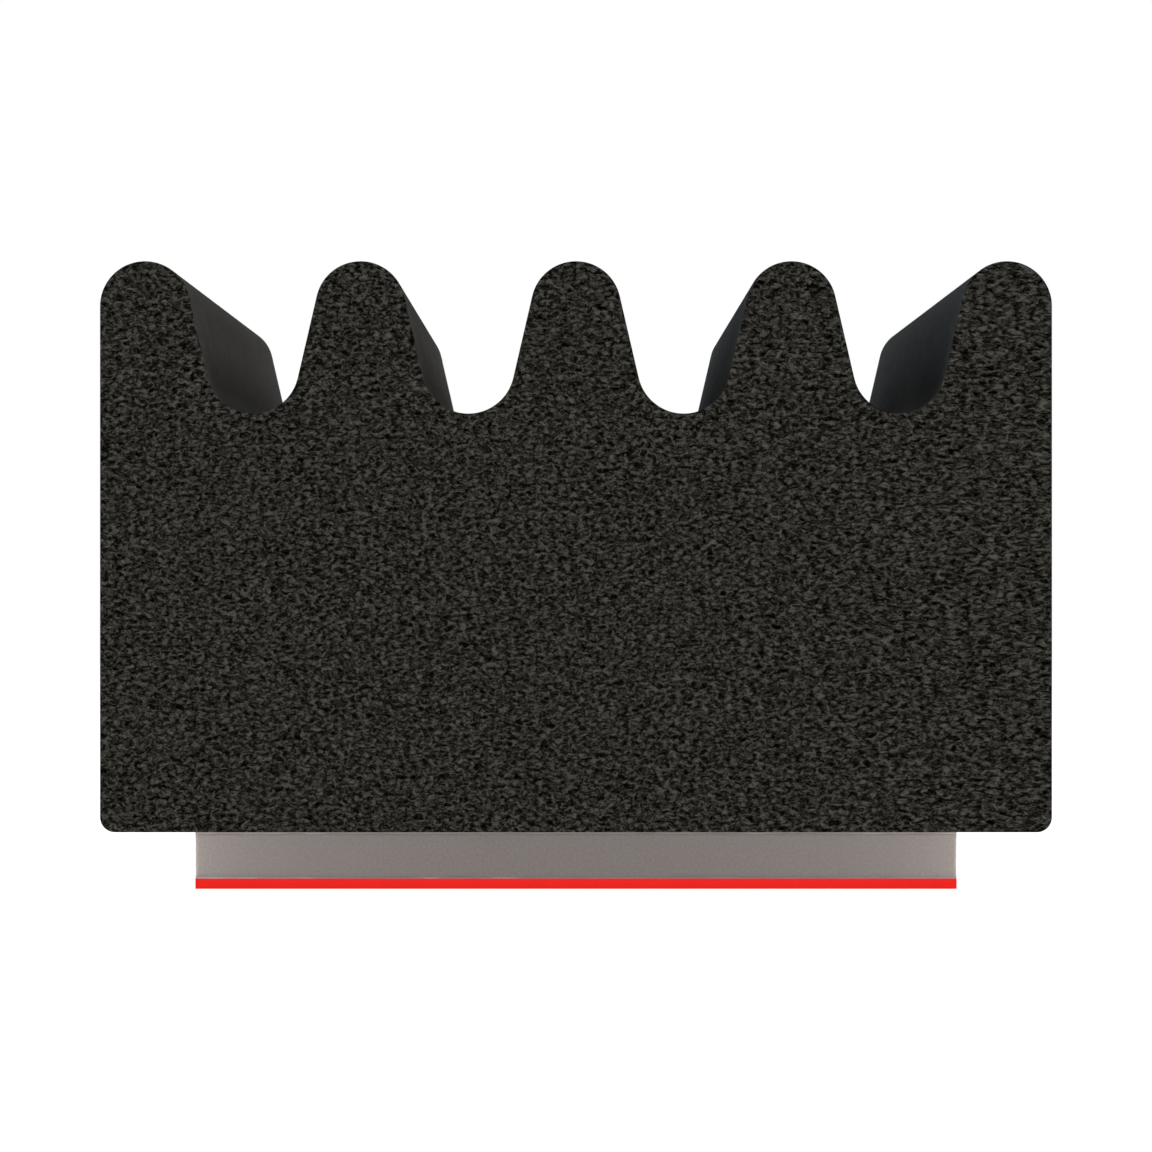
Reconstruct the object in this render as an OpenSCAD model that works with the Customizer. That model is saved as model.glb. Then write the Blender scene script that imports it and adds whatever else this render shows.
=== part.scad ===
// Ribbed sponge-rubber seal strip with mounting tape and a peel-off liner.
// A short length of an extruded profile: five rounded ribs seal against a
// panel, and foam tape under the flat base sticks the strip down. Millimetres.
// X runs across the strip, Y along it and Z up, with the origin at the middle
// of the liner's underside.

/* [Strip] */
// Length of the cut piece along the extrusion
strip_len = 25.4; // [10:0.1:300]

/* [Rubber profile] */
// Width across the rubber
profile_w = 31.75; // [26.4:0.05:60]
// Height of the rubber from its flat base to the rib crests
profile_h = 19.05; // [8:0.05:40]
// Number of ribs across the width
rib_count = 5; // [2:1:5]
// Radius of the round crest on each rib
crest_r = 1.5; // [0.8:0.02:2]
// Radius of the round bottom of each groove
groove_r = 1.54; // [0.8:0.02:2]
// Depth of the grooves below the crests
groove_depth = 5.08; // [3.6:0.02:7]
// Radius of the two bottom corners
corner_r = 0.5; // [0.2:0.05:3]

/* [Mounting tape] */
// Width of the tape and its liner
tape_w = 25.4; // [6:0.1:30.7]
// Thickness of the adhesive between the rubber and the foam
bond_t = 0.06; // [0.03:0.01:0.2]
// Thickness of the foam core
core_t = 1.42; // [0.5:0.02:3]
// Thickness of the adhesive that meets the panel
mount_t = 0.06; // [0.03:0.01:0.2]
// Thickness of the release liner
liner_t = 0.35; // [0.1:0.01:0.6]

/* [Hidden] */
$fn = 96;

// Heights of the layers, counted up from the liner's underside
mount_z = liner_t;
core_z = mount_z + mount_t;
bond_z = core_z + core_t;
rubber_z = bond_z + bond_t;

// Rib spacing: the outer crests are flush with the sides of the rubber
pitch = (profile_w - 2 * crest_r) / (rib_count - 1);
first_rib_x = -profile_w / 2 + crest_r;
crest_z = profile_h - crest_r;
groove_z = profile_h - groove_depth + groove_r;

// A flank is the straight line tangent to a crest and to the groove beside it.
// flank_tilt is how far its outward normal points above the horizontal, and
// each end of the flank runs flank_tuck into its arc, so that the two merge.
half_pitch = pitch / 2;
drop = crest_z - groove_z;
flank_tuck = 0.001;
flank_tilt = atan2(half_pitch, drop) - asin((crest_r + groove_r) / norm([half_pitch, drop]));
flank_normal = [cos(flank_tilt), sin(flank_tilt)];
flank_top = [-half_pitch, crest_z] + (crest_r - flank_tuck) * flank_normal;
flank_foot = [0, groove_z] - (groove_r - flank_tuck) * flank_normal;

function rib_x(i) = first_rib_x + i * pitch;

// The rubber up to the tops of the flanks, before the grooves are cut
module block() {
    rounded_x = profile_w / 2 - corner_r;
    translate([-profile_w / 2, corner_r]) square([profile_w, crest_z - corner_r]);
    translate([-rounded_x, 0]) square([2 * rounded_x, crest_z]);
    translate([first_rib_x, 0]) square([-2 * first_rib_x, flank_top.y]);
    for (side = [-1, 1])
        translate([side * rounded_x, corner_r]) circle(r = corner_r);
}

// The air between two ribs, about the middle of the groove
module groove() {
    translate([0, groove_z]) circle(r = groove_r);
    polygon([
        [flank_top.x, profile_h], flank_top, flank_foot,
        [-flank_foot.x, flank_foot.y], [-flank_top.x, flank_top.y], [-flank_top.x, profile_h]
    ]);
}

module rubber_section() {
    difference() {
        block();
        for (i = [0 : rib_count - 2])
            translate([rib_x(i) + half_pitch, 0]) groove();
    }
    for (i = [0 : rib_count - 1])
        translate([rib_x(i), crest_z]) circle(r = crest_r);
}

// One flat layer of the tape, from height z up to z + t
module tape_layer(z, t) {
    translate([-tape_w / 2, -strip_len / 2, z]) cube([tape_w, strip_len, t]);
}

module sponge_profile() {
    color([0.17, 0.17, 0.15])
        translate([0, 0, rubber_z]) rotate([90, 0, 0])
            linear_extrude(height = strip_len, center = true) rubber_section();
}

module bond_adhesive() {
    color([0.62, 0.58, 0.55]) tape_layer(bond_z, bond_t);
}

module tape_core() {
    color([0.50, 0.48, 0.46]) tape_layer(core_z, core_t);
}

module mounting_adhesive() {
    color([0.62, 0.58, 0.55]) tape_layer(mount_z, mount_t);
}

module release_liner() {
    color([0.93, 0.15, 0.14]) tape_layer(0, liner_t);
}

sponge_profile();
bond_adhesive();
tape_core();
mounting_adhesive();
release_liner();
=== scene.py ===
import math

import bpy
from bpy.props import FloatProperty, FloatVectorProperty, IntProperty, PointerProperty
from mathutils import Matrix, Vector


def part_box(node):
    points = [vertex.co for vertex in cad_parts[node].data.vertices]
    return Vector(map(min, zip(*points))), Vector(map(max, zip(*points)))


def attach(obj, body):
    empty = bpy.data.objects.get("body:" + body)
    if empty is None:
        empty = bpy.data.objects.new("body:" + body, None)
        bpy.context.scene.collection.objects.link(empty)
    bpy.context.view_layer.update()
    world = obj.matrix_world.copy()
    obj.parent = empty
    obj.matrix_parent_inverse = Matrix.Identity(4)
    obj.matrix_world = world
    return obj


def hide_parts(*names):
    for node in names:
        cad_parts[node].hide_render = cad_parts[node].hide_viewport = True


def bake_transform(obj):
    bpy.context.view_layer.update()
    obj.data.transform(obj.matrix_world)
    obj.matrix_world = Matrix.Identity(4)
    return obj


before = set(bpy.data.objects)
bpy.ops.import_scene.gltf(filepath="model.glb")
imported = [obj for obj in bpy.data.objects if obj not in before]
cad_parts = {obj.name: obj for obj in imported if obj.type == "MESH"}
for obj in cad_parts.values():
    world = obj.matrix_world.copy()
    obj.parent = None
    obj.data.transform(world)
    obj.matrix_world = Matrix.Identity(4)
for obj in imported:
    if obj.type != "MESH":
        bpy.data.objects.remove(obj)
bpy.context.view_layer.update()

bl_info = {
    "name": "Ribbed Seal Strip",
    "version": (1, 0, 0),
    "blender": (4, 5, 0),
    "location": "View3D > Sidebar > Seal Strip",
    "description": "Models a ribbed sponge rubber seal strip with mounting tape and a peel-off liner",
    "category": "Object",
}

MM = 0.001
RUBBER_LOW, RUBBER_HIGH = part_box("sponge_profile")
TAPE_LOW, TAPE_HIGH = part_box("tape_core")
LINER_LOW, LINER_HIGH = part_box("release_liner")
STRIP_LENGTH = RUBBER_HIGH.y - RUBBER_LOW.y
MIDDLE_HEIGHT = (LINER_LOW.z + RUBBER_HIGH.z) / 2

# fineness of the meshes, with the angle in degrees
ARC_STEPS = 56
CORNER_STEPS = 10
LENGTH_STEPS = 8
CORE_STEPS = 8
FILM_STEPS = 2
WELD_GAP = 0.001 * MM
SMOOTH_ANGLE = 40

# grain of the finishes, with the tilt in radians
CELL_GRAIN = 0.132 * MM
CELL_SCALE = (0.66, 1, 1)
CELL_TILT = (0, 0.05, 0)
SMEAR_START = 3 * MM
SMEAR_PER_METRE = 12.0
BLOOM_SIZE = 2.4 * MM
PORE_SIZE = 0.15 * MM
DIE_LINE_SIZE = 0.22 * MM
DIMPLE_SIZE = 0.6 * MM
FOAM_GRAIN = 0.09 * MM
GLUE_PEEL = 0.9 * MM
FILM_ROLL = 0.6 * MM

# stage, in metres
FLOOR_RADIUS = 1.2
SURROUND_RADIUS = 1.25
VIEW_REACH = 10


# ---------------------------------------------------------------- settings

class SealProfileSettings(bpy.types.PropertyGroup):
    """Shape of the rubber section and of its cut cells."""

    rib_count: IntProperty(
        name="Ribs", description="Number of ribs across the strip", default=5, min=2)
    crest_radius: FloatProperty(
        name="Crest radius", description="Radius of each rib's round crest",
        default=1.5 * MM, unit="LENGTH", precision=5)
    groove_radius: FloatProperty(
        name="Groove radius", description="Radius of each groove's round bottom",
        default=1.54 * MM, unit="LENGTH", precision=5)
    groove_depth: FloatProperty(
        name="Groove depth", description="Depth of the grooves below the crests",
        default=5.08 * MM, unit="LENGTH", precision=5)
    corner_radius: FloatProperty(
        name="Corner radius", description="Radius of the two bottom corners",
        default=0.5 * MM, unit="LENGTH", precision=5)
    grain_pitch: FloatProperty(
        name="Grain pitch", description="Spacing of the mesh on the cut ends",
        default=0.12 * MM, unit="LENGTH", precision=5)
    cell_size: FloatProperty(
        name="Cell size", description="Width of the larger open cells on the cut ends",
        default=0.3 * MM, unit="LENGTH", precision=5)
    cell_depth: FloatProperty(
        name="Cell depth", description="Depth of the open cells on the cut ends",
        default=0.035 * MM, unit="LENGTH", precision=5)


class SealTapeSettings(bpy.types.PropertyGroup):
    """Fine shape of the tape's layers."""

    mesh_pitch: FloatProperty(
        name="Mesh pitch", description="Spacing of the mesh on the tape's layers",
        default=0.2 * MM, unit="LENGTH", precision=5)
    foam_relief: FloatProperty(
        name="Foam relief", description="Depth of the foam's grain on its slit edges",
        default=0.012 * MM, unit="LENGTH", precision=6)
    glue_wander: FloatProperty(
        name="Glue wander", description="How far the adhesive's edge wanders inwards",
        default=0.03 * MM, unit="LENGTH", precision=6)
    film_edge: FloatProperty(
        name="Film edge", description="Rounding of the liner's slit edges",
        default=0.01 * MM, unit="LENGTH", precision=6)
    film_curl: FloatProperty(
        name="Film curl", description="Length of liner that curls when it is peeled back",
        default=3 * MM, unit="LENGTH", precision=5)


class SealFinishSettings(bpy.types.PropertyGroup):
    """Colours of the finishes."""

    # light end of the cut sponge's grain: painted light on the cell walls
    wall_painted_light: FloatVectorProperty(
        name="Cell wall", description="Lightest colour of the cut sponge",
        default=(0.081, 0.078, 0.068), subtype="COLOR", min=0, max=1)
    cell_mid: FloatVectorProperty(
        name="Cut sponge", description="Middle colour of the cut sponge",
        default=(0.0193, 0.0182, 0.0142), subtype="COLOR", min=0, max=1)
    # dark end of the cut sponge's grain: painted shade in the cell pits
    pit_painted_shade: FloatVectorProperty(
        name="Cell pit", description="Darkest colour of the cut sponge",
        default=(0.0008, 0.0006, 0.0003), subtype="COLOR", min=0, max=1)
    skin: FloatVectorProperty(
        name="Skin", description="Colour of the rubber's smooth skin",
        default=(0.0325, 0.0325, 0.0325), subtype="COLOR", min=0, max=1)
    foam: FloatVectorProperty(
        name="Foam", description="Colour of the tape's foam core",
        default=(0.264, 0.233, 0.220), subtype="COLOR", min=0, max=1)
    glue: FloatVectorProperty(
        name="Adhesive", description="Colour of the adhesive layers",
        default=(0.240, 0.212, 0.200), subtype="COLOR", min=0, max=1)
    film: FloatVectorProperty(
        name="Liner film", description="Colour of the release liner",
        default=(0.84, 0.009, 0.004), subtype="COLOR", min=0, max=1)


class SealStageSettings(bpy.types.PropertyGroup):
    """Camera, floor and lights."""

    lens: FloatProperty(
        name="Lens", description="Focal length of the camera",
        default=86.94, unit="CAMERA")
    camera_distance: FloatProperty(
        name="Camera distance", description="Distance from the camera to the near cut end",
        default=92.79 * MM, unit="LENGTH", precision=5)
    camera_drop: FloatProperty(
        name="Camera drop", description="How far the camera looks below the strip's mid height",
        default=0.03 * MM, unit="LENGTH", precision=5)
    floor_drop: FloatProperty(
        name="Floor drop", description="Depth of the floor below the liner",
        default=30 * MM, unit="LENGTH", precision=4)
    world_light: FloatProperty(
        name="Surrounding light", description="Strength of the even light from all round",
        default=0.10, min=0)


SETTINGS = {
    "seal_profile": SealProfileSettings,
    "seal_tape": SealTapeSettings,
    "seal_finish": SealFinishSettings,
    "seal_stage": SealStageSettings,
}


# ---------------------------------------------------------------- materials

def start_material(name, roughness, specular):
    """A material with an empty Principled shader, and the means to add nodes to it."""
    material = bpy.data.materials.new(name)
    material.use_nodes = True
    tree = material.node_tree
    shader = tree.nodes["Principled BSDF"]
    shader.inputs["Roughness"].default_value = roughness
    shader.inputs["Specular IOR Level"].default_value = specular
    return material, tree, shader


def add_node(tree, kind, settings=None, **inputs):
    """A node of that kind with its settings, its inputs given by name as values or as links."""
    node = tree.nodes.new(kind)
    for name, value in (settings or {}).items():
        setattr(node, name, value)
    for name, value in inputs.items():
        socket = node.inputs[name.replace("_", " ")]
        if isinstance(value, bpy.types.NodeSocket):
            tree.links.new(value, socket)
        else:
            socket.default_value = value
    return node


def place(tree, scale=(1, 1, 1)):
    """Object coordinates, scaled: a scale under 1 draws a pattern out along that axis."""
    coordinates = tree.nodes.new("ShaderNodeTexCoord")
    mapping = add_node(
        tree, "ShaderNodeMapping", Vector=coordinates.outputs["Object"], Scale=scale)
    return mapping.outputs["Vector"]


def maths(tree, operation, first, second):
    """One arithmetic step on two values or links."""
    node = add_node(tree, "ShaderNodeMath", {"operation": operation})
    for socket, value in zip(node.inputs, (first, second)):
        if isinstance(value, bpy.types.NodeSocket):
            tree.links.new(value, socket)
        else:
            socket.default_value = value
    return node.outputs["Value"]


def noise(tree, vector, size, detail=2.0, roughness=0.5, distortion=0.0):
    """Cloudy noise with lumps of about that size, in metres."""
    return add_node(
        tree, "ShaderNodeTexNoise", Vector=vector, Scale=1 / size, Detail=detail,
        Roughness=roughness, Distortion=distortion).outputs["Fac"]


def ramp(tree, factor, stops):
    """A colour ramp through (position, colour) stops."""
    node = add_node(tree, "ShaderNodeValToRGB", Fac=factor)
    elements = node.color_ramp.elements
    while len(elements) < len(stops):
        elements.new(0.5)
    for element, (position, colour) in zip(elements, stops):
        element.position = position
        element.color = (*colour, 1)
    return node.outputs["Color"]


def bump(tree, shader, height, distance, strength=1.0):
    """Small relief on the shader's normal, distance metres deep."""
    node = add_node(
        tree, "ShaderNodeBump", Height=height, Distance=distance, Strength=strength)
    tree.links.new(node.outputs["Normal"], shader.inputs["Normal"])


def mottled(tree, colour, size, amount, scale=(1, 1, 1)):
    """The colour, darker by up to that share in lumps of that size, and the lumps themselves."""
    lumps = noise(tree, place(tree, scale), size, 2.0, 0.6)
    shade = ramp(tree, lumps, [(0.35, (1 - amount,) * 3), (0.65, (1, 1, 1))])
    mix = add_node(
        tree, "ShaderNodeMix", {"data_type": "RGBA", "blend_type": "MULTIPLY"})
    mix.inputs["Factor"].default_value = 1.0
    tree.links.new(colour, mix.inputs[6])
    tree.links.new(shade, mix.inputs[7])
    return mix.outputs[2], lumps


def scaled(colour, factor):
    """The colour, each channel times the factor."""
    return tuple(channel * factor for channel in colour)


def drawn_out(tree, vector, start, rate):
    """The vector with X drawn out more and more past start, as the blade smears the cells."""
    parts = add_node(tree, "ShaderNodeSeparateXYZ", Vector=vector)
    past = maths(tree, "MAXIMUM", maths(tree, "SUBTRACT", parts.outputs["X"], start), 0)
    smear = maths(tree, "MULTIPLY", maths(tree, "MULTIPLY", past, past), rate)
    shifted = maths(tree, "SUBTRACT", parts.outputs["X"], smear)
    return add_node(
        tree, "ShaderNodeCombineXYZ", X=shifted, Y=parts.outputs["Y"],
        Z=parts.outputs["Z"]).outputs["Vector"]


def cut_sponge_material(finish):
    """Cut closed-cell sponge: its cell grain drawn out across the strip, with painted light on the
    cell walls and painted shade in the pits.
    """
    material, tree, shader = start_material("cut_sponge", 1.0, 0.0)
    smeared = drawn_out(tree, place(tree), SMEAR_START, SMEAR_PER_METRE)
    cells = add_node(
        tree, "ShaderNodeMapping", Vector=smeared, Scale=CELL_SCALE, Rotation=CELL_TILT)
    grain = noise(tree, cells.outputs["Vector"], CELL_GRAIN, 3.0, 0.78, 0.6)
    # the ramp's dark end is painted shade in the cell pits, its light end painted light on the cell
    # walls
    colour = ramp(tree, grain, [
        (0.36, finish.pit_painted_shade), (0.435, scaled(finish.cell_mid, 0.26)),
        (0.50, finish.cell_mid), (0.56, scaled(finish.wall_painted_light, 0.52)),
        (0.65, finish.wall_painted_light)])
    tree.links.new(colour, shader.inputs["Base Color"])
    bump(tree, shader, grain, 0.02 * MM, 0.3)
    return material


def rubber_skin_material(finish):
    """The smooth skin of the extrusion, with pores, dimples and faint lines drawn along it."""
    material, tree, shader = start_material("rubber_skin", 0.6, 0.1)
    bloom = noise(tree, place(tree, (1, 0.35, 1)), BLOOM_SIZE, 3.0, 0.5)
    dusted = ramp(tree, bloom, [
        (0.35, scaled(finish.skin, 0.97)), (0.65, scaled(finish.skin, 1.15))])
    colour, pores = mottled(tree, dusted, PORE_SIZE, 0.42, (1, 0.4, 1))
    tree.links.new(colour, shader.inputs["Base Color"])
    sheen = ramp(tree, bloom, [(0.35, (0.50,) * 3), (0.65, (0.66,) * 3)])
    tree.links.new(sheen, shader.inputs["Roughness"])
    lines = noise(tree, place(tree, (1, 0.02, 1)), DIE_LINE_SIZE, 3.0, 0.55)
    dimples = noise(tree, place(tree, (1, 0.5, 1)), DIMPLE_SIZE, 2.0, 0.5)
    fine = maths(tree, "ADD", maths(tree, "MULTIPLY", lines, 0.4), pores)
    relief = maths(tree, "ADD", fine, maths(tree, "MULTIPLY", dimples, 4))
    bump(tree, shader, relief, 0.006 * MM, 0.6)
    return material


def painted_edge_light(tree, colour):
    """The colour, paler towards the tape's two slit edges: painted light, standing in for light that
    soaks in there.
    """
    half_width = (TAPE_HIGH.x - TAPE_LOW.x) / 2
    across = add_node(tree, "ShaderNodeSeparateXYZ", Vector=place(tree)).outputs["X"]
    share = maths(tree, "DIVIDE", maths(tree, "ABSOLUTE", across, 0), half_width)
    return ramp(tree, share, [
        (0.2, colour), (0.5, scaled(colour, 1.06)), (0.72, scaled(colour, 1.14)),
        (0.83, scaled(colour, 1.24)), (0.91, scaled(colour, 1.36)),
        (0.965, scaled(colour, 1.50)), (1.0, scaled(colour, 1.58))])


def foam_material(finish):
    """Fine matte foam with a little subsurface light, and painted light making it paler towards its
    slit edges.
    """
    material, tree, shader = start_material("tape_foam", 0.7, 0.1)
    shader.inputs["Subsurface Weight"].default_value = 1.0
    shader.inputs["Subsurface Radius"].default_value = (1.0, 0.95, 0.9)
    shader.inputs["Subsurface Scale"].default_value = 0.5 * MM
    # painted light: the base colour is made paler towards the tape's slit edges
    colour, grain = mottled(tree, painted_edge_light(tree, finish.foam), FOAM_GRAIN, 0.12)
    tree.links.new(colour, shader.inputs["Base Color"])
    bump(tree, shader, grain, 0.004 * MM, 0.4)
    return material


def adhesive_material(finish):
    """Tacky adhesive with a wet shine and a faint orange-peel surface."""
    material, tree, shader = start_material("clear_adhesive", 0.22, 0.5)
    # painted light: the base colour is made paler towards the tape's slit edges
    colour, peel = mottled(tree, painted_edge_light(tree, finish.glue), GLUE_PEEL, 0.08)
    tree.links.new(colour, shader.inputs["Base Color"])
    bump(tree, shader, peel, 0.01 * MM, 0.5)
    return material


def film_material(finish):
    """Bright plastic film with a soft gloss and a faint rolled texture."""
    material, tree, shader = start_material("liner_film", 0.35, 0.12)
    rolled = noise(tree, place(tree, (1, 0.4, 1)), FILM_ROLL, 3.0, 0.5)
    colour = ramp(tree, rolled, [
        (0.3, scaled(finish.film, 0.97)), (0.7, scaled(finish.film, 1.02))])
    tree.links.new(colour, shader.inputs["Base Color"])
    bump(tree, shader, rolled, 0.006 * MM, 0.35)
    return material


# ---------------------------------------------------------------- modelling

def deselect_all():
    """Leaves edit mode, with nothing selected."""
    if bpy.context.mode != "OBJECT":
        bpy.ops.object.mode_set(mode="OBJECT")
    bpy.ops.object.select_all(action="DESELECT")


def settle(piece, name):
    """Names a piece and writes its place into its mesh."""
    deselect_all()
    piece.select_set(True)
    bpy.context.view_layer.objects.active = piece
    bpy.ops.object.transform_apply(location=True, rotation=True, scale=True)
    piece.name = name
    piece.data.name = name


def start_outline(point):
    """A new mesh with one vertex, selected in edit mode."""
    deselect_all()
    bpy.ops.mesh.primitive_plane_add(size=1 * MM, location=point)
    outline = bpy.context.active_object
    settle(outline, "outline")
    bpy.ops.object.mode_set(mode="EDIT")
    bpy.ops.mesh.select_all(action="SELECT")
    bpy.ops.mesh.merge(type="CENTER")
    return outline


def draw_line(start, end):
    """Draws an edge on from the selected vertex."""
    bpy.ops.mesh.extrude_region_move(TRANSFORM_OT_translate={"value": end - start})
    return end


def draw_arc(centre, radius, first, last, steps):
    """Draws an arc on from the selected vertex, between two angles in degrees.
    Angles count from +X towards +Z."""
    bpy.ops.mesh.spin(
        steps=steps, angle=math.radians(last - first), center=centre, axis=(0, 1, 0))
    return on_circle(centre, radius, last)


def on_circle(centre, radius, angle):
    """The point on a circle in the XZ plane at that angle in degrees."""
    turn = math.radians(angle)
    return centre + radius * Vector((math.cos(turn), 0, math.sin(turn)))


def draw_section(profile):
    """The closed outline of the rubber at its near cut end, filled with one face."""
    low, high = RUBBER_LOW, RUBBER_HIGH
    corner, crest, groove = profile.corner_radius, profile.crest_radius, profile.groove_radius
    pitch = (high.x - low.x - 2 * crest) / (profile.rib_count - 1)
    crest_height = high.z - crest
    groove_height = high.z - profile.groove_depth + groove
    drop = crest_height - groove_height
    reach = math.hypot(pitch / 2, drop)
    tilt = math.degrees(math.atan2(pitch / 2, drop) - math.asin((crest + groove) / reach))

    point = Vector((low.x + corner, low.y, low.z))
    outline = start_outline(point)
    point = draw_line(point, Vector((high.x - corner, low.y, low.z)))
    right = Vector((high.x - corner, low.y, low.z + corner))
    point = draw_arc(right, corner, -90, 0, CORNER_STEPS)
    point = draw_line(point, Vector((high.x, low.y, crest_height)))
    for rib in range(profile.rib_count):
        crest_middle = Vector((high.x - crest - rib * pitch, low.y, crest_height))
        first = 0 if rib == 0 else tilt
        last = 180 if rib == profile.rib_count - 1 else 180 - tilt
        point = draw_arc(crest_middle, crest, first, last, ARC_STEPS)
        if last < 180:
            groove_middle = Vector((crest_middle.x - pitch / 2, low.y, groove_height))
            point = draw_line(point, on_circle(groove_middle, groove, -tilt))
            point = draw_arc(groove_middle, groove, -tilt, tilt - 180, ARC_STEPS)
            next_crest = crest_middle - Vector((pitch, 0, 0))
            point = draw_line(point, on_circle(next_crest, crest, tilt))
    point = draw_line(point, Vector((low.x, low.y, low.z + corner)))
    left = Vector((low.x + corner, low.y, low.z + corner))
    draw_arc(left, corner, 180, 270, CORNER_STEPS)
    bpy.ops.mesh.select_all(action="SELECT")
    bpy.ops.mesh.remove_doubles(threshold=WELD_GAP)
    bpy.ops.mesh.edge_face_add()
    return outline


def cut_into_grid(low, high, pitch):
    """Bisects the mesh in edit mode into cells along X and Z."""
    for axis in (0, 2):
        count = round((high[axis] - low[axis]) / pitch)
        normal = Vector((0, 0, 0))
        normal[axis] = 1
        for step in range(1, count):
            cut = Vector((0, 0, 0))
            cut[axis] = low[axis] + (high[axis] - low[axis]) * step / count
            bpy.ops.mesh.select_all(action="SELECT")
            bpy.ops.mesh.bisect(plane_co=cut, plane_no=normal, threshold=1e-9)


def pull_out(length, steps):
    """Extrudes the selected faces along Y, and turns all faces outwards."""
    for _ in range(steps):
        bpy.ops.mesh.extrude_region_move(
            TRANSFORM_OT_translate={"value": (0, length / steps, 0)})
    bpy.ops.mesh.select_all(action="SELECT")
    bpy.ops.mesh.normals_make_consistent(inside=False)
    bpy.ops.object.mode_set(mode="OBJECT")


def apply_modifier(piece, kind, **settings):
    """Adds one modifier with these settings and writes its result into the mesh."""
    modifier = piece.modifiers.new(kind.lower(), kind)
    for name, value in settings.items():
        setattr(modifier, name, value)
    bpy.context.view_layer.objects.active = piece
    bpy.ops.object.modifier_apply(modifier=modifier.name)


def mark_group(piece, name, vertices):
    """A new vertex group of those vertices, given back by name."""
    group = piece.vertex_groups.new(name=name)
    group.add(vertices, 1.0, "REPLACE")
    return name


def inner_vertices(piece, wanted):
    """Vertices whose faces all pass the test."""
    mesh = piece.data
    shared = set()
    for face in mesh.polygons:
        if not wanted(face):
            shared.update(face.vertices)
    return [v.index for v in mesh.vertices if v.index not in shared]


def cloud_texture(name, kind, size, **settings):
    """A texture of lumps of that size, for a displacement."""
    texture = bpy.data.textures.new(name, kind)
    texture.noise_scale = size
    for key, value in settings.items():
        setattr(texture, key, value)
    return texture


def sheet_layer(name, node, pitch, steps):
    """A flat layer with a fine mesh, the size of its CAD node, in that many steps of height."""
    low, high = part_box(node)
    size = high - low
    deselect_all()
    bpy.ops.mesh.primitive_grid_add(
        x_subdivisions=round(size.x / pitch), y_subdivisions=round(size.y / pitch),
        size=1, location=((low.x + high.x) / 2, (low.y + high.y) / 2, low.z))
    layer = bpy.context.active_object
    layer.scale = (size.x, size.y, 1)
    settle(layer, name)
    bpy.ops.object.mode_set(mode="EDIT")
    bpy.ops.mesh.select_all(action="SELECT")
    for _ in range(steps):
        bpy.ops.mesh.extrude_region_move(
            TRANSFORM_OT_translate={"value": (0, 0, size.z / steps)})
    bpy.ops.mesh.select_all(action="SELECT")
    bpy.ops.mesh.normals_make_consistent(inside=False)
    bpy.ops.object.mode_set(mode="OBJECT")
    return layer


def smooth_faces(piece):
    """Smooth shading, with sharp edges kept where the surface turns."""
    deselect_all()
    piece.select_set(True)
    bpy.context.view_layer.objects.active = piece
    bpy.ops.object.shade_smooth_by_angle(angle=math.radians(SMOOTH_ANGLE))


def finish_piece(piece, node):
    """Hands a finished piece of the strip to the frame."""
    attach(piece, "strip")
    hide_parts(node)


# ---------------------------------------------------------------- operators

class SEAL_OT_sponge_profile(bpy.types.Operator):
    """Model the ribbed rubber with its smooth skin and its open cut cells"""

    bl_idname = "seal.sponge_profile"
    bl_label = "Sponge Profile"

    def execute(self, context):
        profile, finish = context.scene.seal_profile, context.scene.seal_finish
        rubber = draw_section(profile)
        pitch = profile.grain_pitch * 1
        cut_into_grid(RUBBER_LOW, RUBBER_HIGH, pitch)
        bpy.ops.mesh.select_all(action="SELECT")
        pull_out(STRIP_LENGTH, LENGTH_STEPS)
        settle(rubber, "rubber_profile")
        rubber.data.materials.append(rubber_skin_material(finish))
        rubber.data.materials.append(cut_sponge_material(finish))
        for face in rubber.data.polygons:
            face.material_index = 1 if abs(face.normal.y) > 0.9 else 0
        cut_group = mark_group(
            rubber, "cut_cells", inner_vertices(rubber, lambda f: f.material_index == 1))
        for texture in (
            cloud_texture("open_cells", "VORONOI", profile.cell_size),
            cloud_texture("cell_walls", "CLOUDS", profile.cell_size / 3, noise_depth=1),
        ):
            apply_modifier(
                rubber, "DISPLACE", texture=texture, vertex_group=cut_group,
                direction="NORMAL", strength=profile.cell_depth, mid_level=1.0)
        smooth_faces(rubber)
        finish_piece(rubber, "sponge_profile")
        return {"FINISHED"}


class SEAL_OT_tape_core(bpy.types.Operator):
    """Model the foam core of the mounting tape"""

    bl_idname = "seal.tape_core"
    bl_label = "Tape Core"

    def execute(self, context):
        tape = context.scene.seal_tape
        core = sheet_layer("foam_core", "tape_core", tape.mesh_pitch, CORE_STEPS)
        core.data.materials.append(foam_material(context.scene.seal_finish))
        edges = mark_group(
            core, "slit_edges", inner_vertices(core, lambda f: abs(f.normal.z) < 0.5))
        apply_modifier(
            core, "DISPLACE", texture=cloud_texture("foam_grain", "CLOUDS", 0.35 * MM),
            vertex_group=edges, direction="NORMAL", strength=tape.foam_relief, mid_level=1.0)
        smooth_faces(core)
        finish_piece(core, "tape_core")
        return {"FINISHED"}


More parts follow.
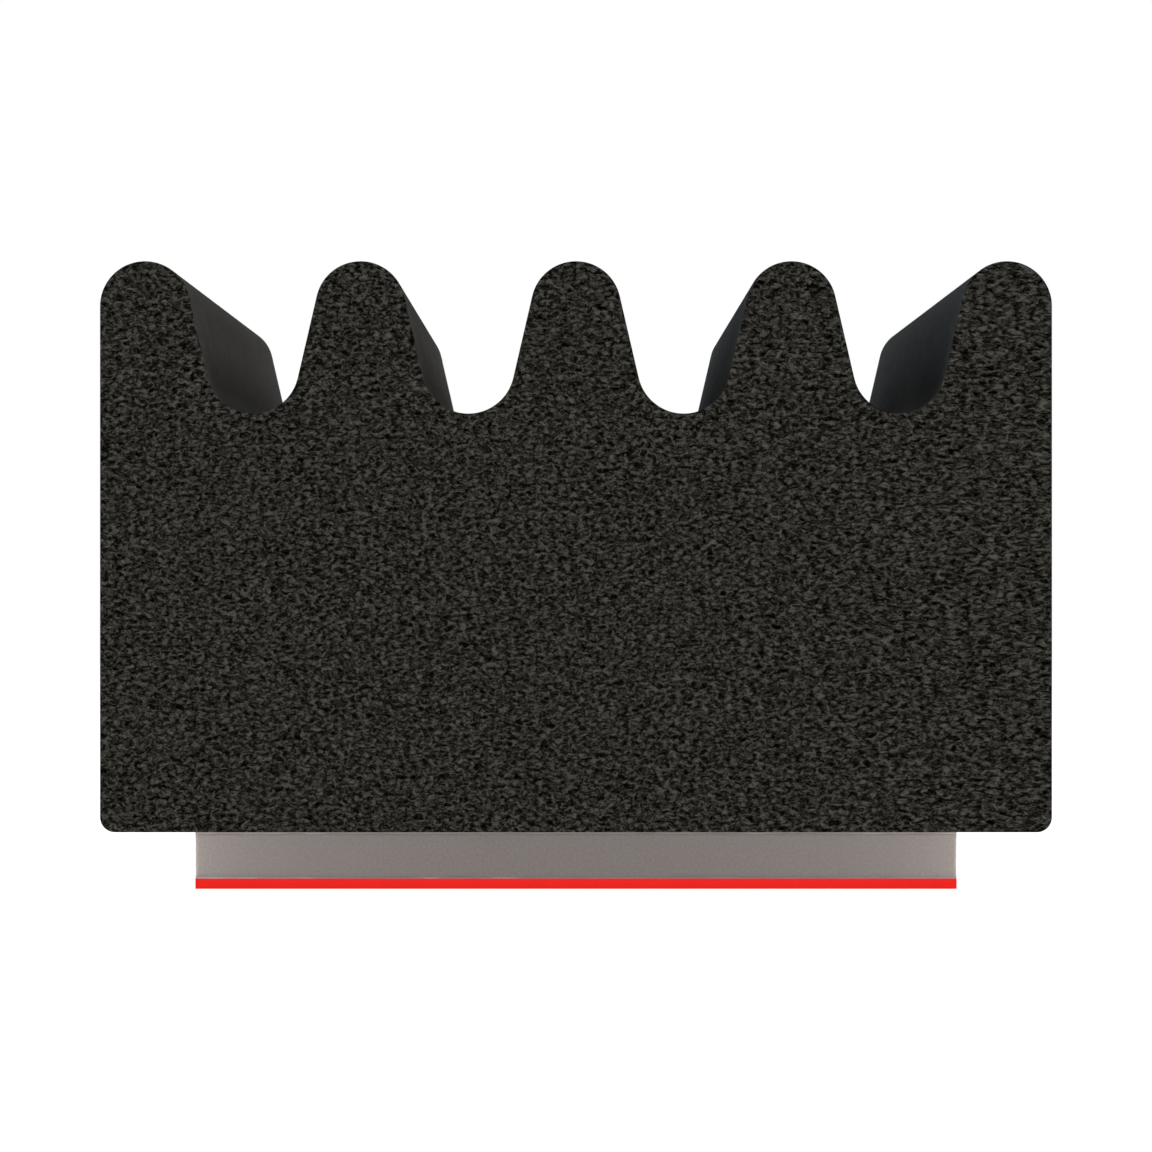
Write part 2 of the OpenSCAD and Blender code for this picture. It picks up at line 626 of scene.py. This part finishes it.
class SEAL_OT_adhesive_layers(bpy.types.Operator):
    """Model the two thin layers of adhesive on the faces of the foam"""

    bl_idname = "seal.adhesive_layers"
    bl_label = "Adhesive Layers"

    def execute(self, context):
        tape = context.scene.seal_tape
        finish = adhesive_material(context.scene.seal_finish)
        for name, node in (
            ("bond_layer", "bond_adhesive"), ("mounting_layer", "mounting_adhesive")
        ):
            layer = sheet_layer(name, node, tape.mesh_pitch, FILM_STEPS)
            layer.data.materials.append(finish)
            edges = mark_group(
                layer, "slit_edges", inner_vertices(layer, lambda f: abs(f.normal.z) < 0.5))
            apply_modifier(
                layer, "DISPLACE", texture=cloud_texture(name + "_edge", "CLOUDS", 0.8 * MM),
                vertex_group=edges, direction="NORMAL", strength=tape.glue_wander,
                mid_level=1.0)
            smooth_faces(layer)
            finish_piece(layer, node)
        return {"FINISHED"}


class SEAL_OT_release_liner(bpy.types.Operator):
    """Model the film that covers the mounting adhesive"""

    bl_idname = "seal.release_liner"
    bl_label = "Release Liner"

    def execute(self, context):
        tape = context.scene.seal_tape
        liner = sheet_layer("liner_film", "release_liner", tape.mesh_pitch, FILM_STEPS)
        liner.data.materials.append(film_material(context.scene.seal_finish))
        apply_modifier(
            liner, "BEVEL", width=tape.film_edge, segments=2, limit_method="ANGLE",
            angle_limit=math.radians(30))
        smooth_faces(liner)
        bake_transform(liner)
        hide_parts("release_liner")
        return {"FINISHED"}


def add_softbox(name, place_at, aim, size, power, colour):
    """A square area light pointed at aim."""
    place_at = Vector(place_at)
    turn = (Vector(aim) - place_at).to_track_quat("-Z", "Y").to_euler()
    bpy.ops.object.light_add(type="AREA", location=place_at, rotation=turn)
    lamp = bpy.context.active_object
    lamp.name = name
    lamp.data.size = size
    lamp.data.energy = power
    lamp.data.color = colour
    return lamp


def stage_material(name, colour, glow):
    """A pale matte stage surface with some light of its own."""
    material, tree, shader = start_material(name, 1.0, 0.0)
    shader.inputs["Base Color"].default_value = (*colour, 1)
    shader.inputs["Emission Color"].default_value = (1, 1, 1, 1)
    shader.inputs["Emission Strength"].default_value = glow
    return material


def floor_material():
    """A pale floor that brightens away from the strip until it meets the surround."""
    material = stage_material("pale_floor", (0.4, 0.4, 0.4), 1.0)
    tree = material.node_tree
    distance = add_node(
        tree, "ShaderNodeVectorMath", {"operation": "LENGTH"}, Vector=place(tree, (1, 1, 0)))
    glow = ramp(tree, distance.outputs["Value"], [
        (0.03, (0.45,) * 3), (0.10, (0.75,) * 3), (0.3, (1, 1, 1))])
    tree.links.new(glow, tree.nodes["Principled BSDF"].inputs["Emission Color"])
    return material


class SEAL_OT_stage(bpy.types.Operator):
    """Set up the floor, the white surround, the lights and the camera"""

    bl_idname = "seal.stage"
    bl_label = "Stage"

    def execute(self, context):
        scene, stage = context.scene, context.scene.seal_stage
        deselect_all()
        middle = Vector((0, 0, MIDDLE_HEIGHT))
        bpy.ops.mesh.primitive_circle_add(
            vertices=96, radius=FLOOR_RADIUS, fill_type="NGON",
            location=(0, 0, LINER_LOW.z - stage.floor_drop))
        floor = bpy.context.active_object
        floor.name = "floor"
        floor.data.materials.append(floor_material())
        bpy.ops.mesh.primitive_uv_sphere_add(
            segments=48, ring_count=24, radius=SURROUND_RADIUS)
        surround = bpy.context.active_object
        surround.name = "surround"
        surround.data.materials.append(stage_material("white_surround", (0, 0, 0), 1.0))
        surround.visible_diffuse = False
        surround.visible_glossy = False
        surround.visible_transmission = False
        surround.visible_shadow = False

        add_softbox("front_box", (0, -0.65, 0.12), middle, 0.5, 1.6, (1.0, 1.0, 1.0))
        add_softbox("right_high", (0.38, 0.0, 0.38), middle, 0.40, 3.0, (1.0, 0.95, 0.88))
        add_softbox("left_high", (-0.48, 0.0, 0.28), middle, 0.40, 2.0, (0.70, 0.86, 1.0))
        add_softbox("right_low", (0.50, 0.0, 0.04), middle, 0.30, 0.8, (1.0, 1.0, 1.0))
        add_softbox("left_low", (-0.50, 0.0, 0.04), middle, 0.30, 1.2, (1.0, 1.0, 1.0))
        back_box = add_softbox("back_box", (0, 0.65, 0.1), middle, 0.5, 0.6, (1.0, 1.0, 1.0))
        back_box.visible_glossy = False

        world = bpy.data.worlds.new("studio")
        world.use_nodes = True
        scene.world = world
        background = world.node_tree.nodes["Background"]
        background.inputs["Color"].default_value = (1, 1, 1, 1)
        background.inputs["Strength"].default_value = stage.world_light

        front = RUBBER_LOW.y - stage.camera_distance
        bpy.ops.object.camera_add(
            location=(0, front, MIDDLE_HEIGHT - stage.camera_drop),
            rotation=(math.radians(90), 0, 0))
        camera = bpy.context.active_object
        camera.name = "camera"
        camera.data.lens = stage.lens
        camera.data.clip_start = 1 * MM
        camera.data.clip_end = VIEW_REACH
        scene.camera = camera
        scene.view_settings.view_transform = "Standard"
        return {"FINISHED"}


OPERATORS = (
    SEAL_OT_sponge_profile,
    SEAL_OT_tape_core,
    SEAL_OT_adhesive_layers,
    SEAL_OT_release_liner,
    SEAL_OT_stage,
)


class SEAL_PT_panel(bpy.types.Panel):
    """The strip's pieces and their settings"""

    bl_idname = "SEAL_PT_panel"
    bl_label = "Seal Strip"
    bl_space_type = "VIEW_3D"
    bl_region_type = "UI"
    bl_category = "Seal Strip"

    def draw(self, context):
        for operator in OPERATORS:
            self.layout.operator(operator.bl_idname)
        for name, group in SETTINGS.items():
            column = self.layout.column()
            for key in group.__annotations__:
                column.prop(getattr(context.scene, name), key)


def register():
    for group in SETTINGS.values():
        bpy.utils.register_class(group)
    for name, group in SETTINGS.items():
        setattr(bpy.types.Scene, name, PointerProperty(type=group))
    for cls in (*OPERATORS, SEAL_PT_panel):
        bpy.utils.register_class(cls)


def unregister():
    for cls in reversed((*OPERATORS, SEAL_PT_panel)):
        bpy.utils.unregister_class(cls)
    for name in SETTINGS:
        delattr(bpy.types.Scene, name)
    for group in reversed(SETTINGS.values()):
        bpy.utils.unregister_class(group)


def main():
    register()
    bpy.ops.seal.sponge_profile()
    bpy.ops.seal.tape_core()
    bpy.ops.seal.adhesive_layers()
    bpy.ops.seal.release_liner()
    bpy.ops.seal.stage()


if __name__ == "__main__":
    main()
